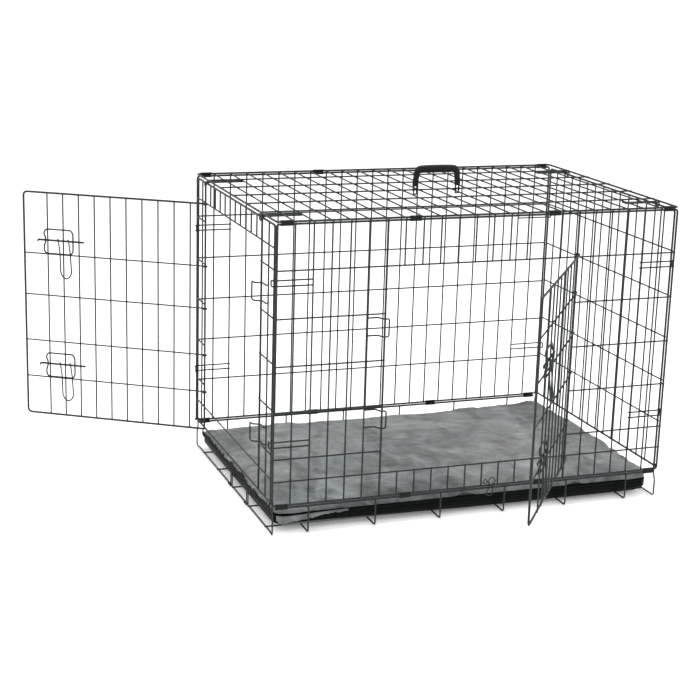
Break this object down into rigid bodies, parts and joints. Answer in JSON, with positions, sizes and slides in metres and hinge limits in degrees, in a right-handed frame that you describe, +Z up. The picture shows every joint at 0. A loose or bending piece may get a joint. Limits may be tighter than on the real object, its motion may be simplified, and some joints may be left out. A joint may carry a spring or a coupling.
{
  "type": "wire dog crate",
  "caption": "Folding wire dog crate with an end door, a side door, slide bolts, a carry handle, a slide-out tray and a plush bed.",
  "frame": {"origin": "on the floor under the middle of the crate, at the underside of the middle floor wire", "axes": "+X along the length towards the fixed end, +Y to the back, +Z up"},
  "size_m": [1.5067, 1.3394, 0.8412],
  "materials": {
    "wire_coat": "satin e-coat",
    "clip_steel": "satin coated sheet steel",
    "black_plastic": "fine moulded grain",
    "grey_plush": "short crushed plush pile"
  },
  "bodies": {
    "frame": {"floor_panel": "wire_coat", "front_panel": "wire_coat", "back_panel": "wire_coat", "roof_panel": "wire_coat", "left_end_panel": "wire_coat", "left_lower_keeper": "wire_coat", "left_upper_keeper": "wire_coat", "front_lower_keeper": "wire_coat", "front_upper_keeper": "wire_coat", "front_left_upper_hook": "wire_coat", "front_left_lower_hook": "wire_coat", "front_right_upper_hook": "wire_coat", "front_right_lower_hook": "wire_coat", "back_left_upper_hook": "wire_coat", "back_left_lower_hook": "wire_coat", "back_right_upper_hook": "wire_coat", "back_right_lower_hook": "wire_coat", "roof_left_front_hook": "wire_coat", "roof_right_front_hook": "wire_coat", "roof_left_back_hook": "wire_coat", "roof_right_back_hook": "wire_coat", "front_top_clip_1": "clip_steel", "front_top_clip_2": "clip_steel", "front_top_clip_3": "clip_steel", "front_top_clip_4": "clip_steel", "front_bottom_clip_1": "clip_steel", "front_bottom_clip_2": "clip_steel", "front_bottom_clip_3": "clip_steel", "front_bottom_clip_4": "clip_steel", "back_top_clip_1": "clip_steel", "back_top_clip_2": "clip_steel", "back_top_clip_3": "clip_steel", "back_top_clip_4": "clip_steel", "back_bottom_clip_1": "clip_steel", "back_bottom_clip_2": "clip_steel", "back_bottom_clip_3": "clip_steel", "back_bottom_clip_4": "clip_steel"},
    "right_end": {"right_end_panel": "wire_coat"},
    "tray": {"tray": "black_plastic", "bed": "grey_plush"},
    "handle": {"carry_handle": "black_plastic"},
    "left_door": {"left_door": "wire_coat", "left_lower_latch_guide": "wire_coat", "left_upper_latch_guide": "wire_coat"},
    "front_door": {"front_door": "wire_coat", "front_lower_latch_guide": "wire_coat", "front_upper_latch_guide": "wire_coat"},
    "left_lower_bolt": {"left_lower_latch_bolt": "wire_coat"},
    "left_lower_pull": {"left_lower_latch_pull": "wire_coat"},
    "left_upper_bolt": {"left_upper_latch_bolt": "wire_coat"},
    "left_upper_pull": {"left_upper_latch_pull": "wire_coat"},
    "front_lower_bolt": {"front_lower_latch_bolt": "wire_coat"},
    "front_lower_pull": {"front_lower_latch_pull": "wire_coat"},
    "front_upper_bolt": {"front_upper_latch_bolt": "wire_coat"},
    "front_upper_pull": {"front_upper_latch_pull": "wire_coat"},
    "rear_stop": {"tray_stop_rear": "wire_coat"},
    "front_stop": {"tray_stop_front": "wire_coat"},
    "fold_hook": {"front_fold_hook": "wire_coat"}
  },
  "joints": [
    {"name": "left_door_swing", "type": "hinge", "parent": "frame", "child": "left_door", "pos_m": [-0.53, 0.272, 0.398], "axis": [0, 0, 1], "range_deg": [-37, 123]},
    {"name": "front_door_swing", "type": "hinge", "parent": "frame", "child": "front_door", "pos_m": [0.25348, -0.3575, 0.4035], "axis": [0, 0, 1], "range_deg": [-53, 107]},
    {"name": "left_lower_bolt_slide", "type": "slide", "parent": "left_door", "child": "left_lower_bolt", "axis": [-0.8387, 0.5446, 0], "range_m": [-0.008, 0.033]},
    {"name": "left_lower_pull_lift", "type": "hinge", "parent": "left_lower_bolt", "child": "left_lower_pull", "pos_m": [-0.87002, 0.50855, 0.221], "axis": [0.8387, -0.5446, 0], "range_deg": [0, 120]},
    {"name": "left_upper_bolt_slide", "type": "slide", "parent": "left_door", "child": "left_upper_bolt", "axis": [-0.8387, 0.5446, 0], "range_m": [-0.008, 0.033]},
    {"name": "left_upper_pull_lift", "type": "hinge", "parent": "left_upper_bolt", "child": "left_upper_pull", "pos_m": [-0.87002, 0.50855, 0.574], "axis": [0.8387, -0.5446, 0], "range_deg": [0, 120]},
    {"name": "front_lower_bolt_slide", "type": "slide", "parent": "front_door", "child": "front_lower_bolt", "axis": [-0.6018, -0.7986, 0], "range_m": [-0.008, 0.033]},
    {"name": "front_lower_pull_lift", "type": "hinge", "parent": "front_lower_bolt", "child": "front_lower_pull", "pos_m": [0.02149, -0.68729, 0.272], "axis": [-0.6018, -0.7986, 0], "range_deg": [0, 120]},
    {"name": "front_upper_bolt_slide", "type": "slide", "parent": "front_door", "child": "front_upper_bolt", "axis": [-0.6018, -0.7986, 0], "range_m": [-0.008, 0.033]},
    {"name": "front_upper_pull_lift", "type": "hinge", "parent": "front_upper_bolt", "child": "front_upper_pull", "pos_m": [0.02149, -0.68729, 0.502], "axis": [-0.6018, -0.7986, 0], "range_deg": [0, 120]},
    {"name": "right_end_fold", "type": "hinge", "parent": "frame", "child": "right_end", "pos_m": [0.53, 0, 0.083], "axis": [0, -1, 0], "range_deg": [0, 88]},
    {"name": "tray_slide", "type": "slide", "parent": "frame", "child": "tray", "axis": [1, 0, 0], "range_m": [0, 0.95]},
    {"name": "handle_swing", "type": "hinge", "parent": "frame", "child": "handle", "pos_m": [0.019, 0, 0.77675], "axis": [1, 0, 0], "range_deg": [-68, 68]},
    {"name": "rear_stop_fold", "type": "hinge", "parent": "frame", "child": "rear_stop", "pos_m": [-0.526, 0.02, 0.0048], "axis": [0, -1, 0], "range_deg": [0, 85]},
    {"name": "front_stop_fold", "type": "hinge", "parent": "frame", "child": "front_stop", "pos_m": [-0.526, -0.126, 0.0048], "axis": [0, -1, 0], "range_deg": [0, 85]},
    {"name": "fold_hook_swing", "type": "hinge", "parent": "frame", "child": "fold_hook", "pos_m": [0.051, -0.3575, 0.078], "axis": [-1, 0, 0], "range_deg": [0, 30]}
  ]
}
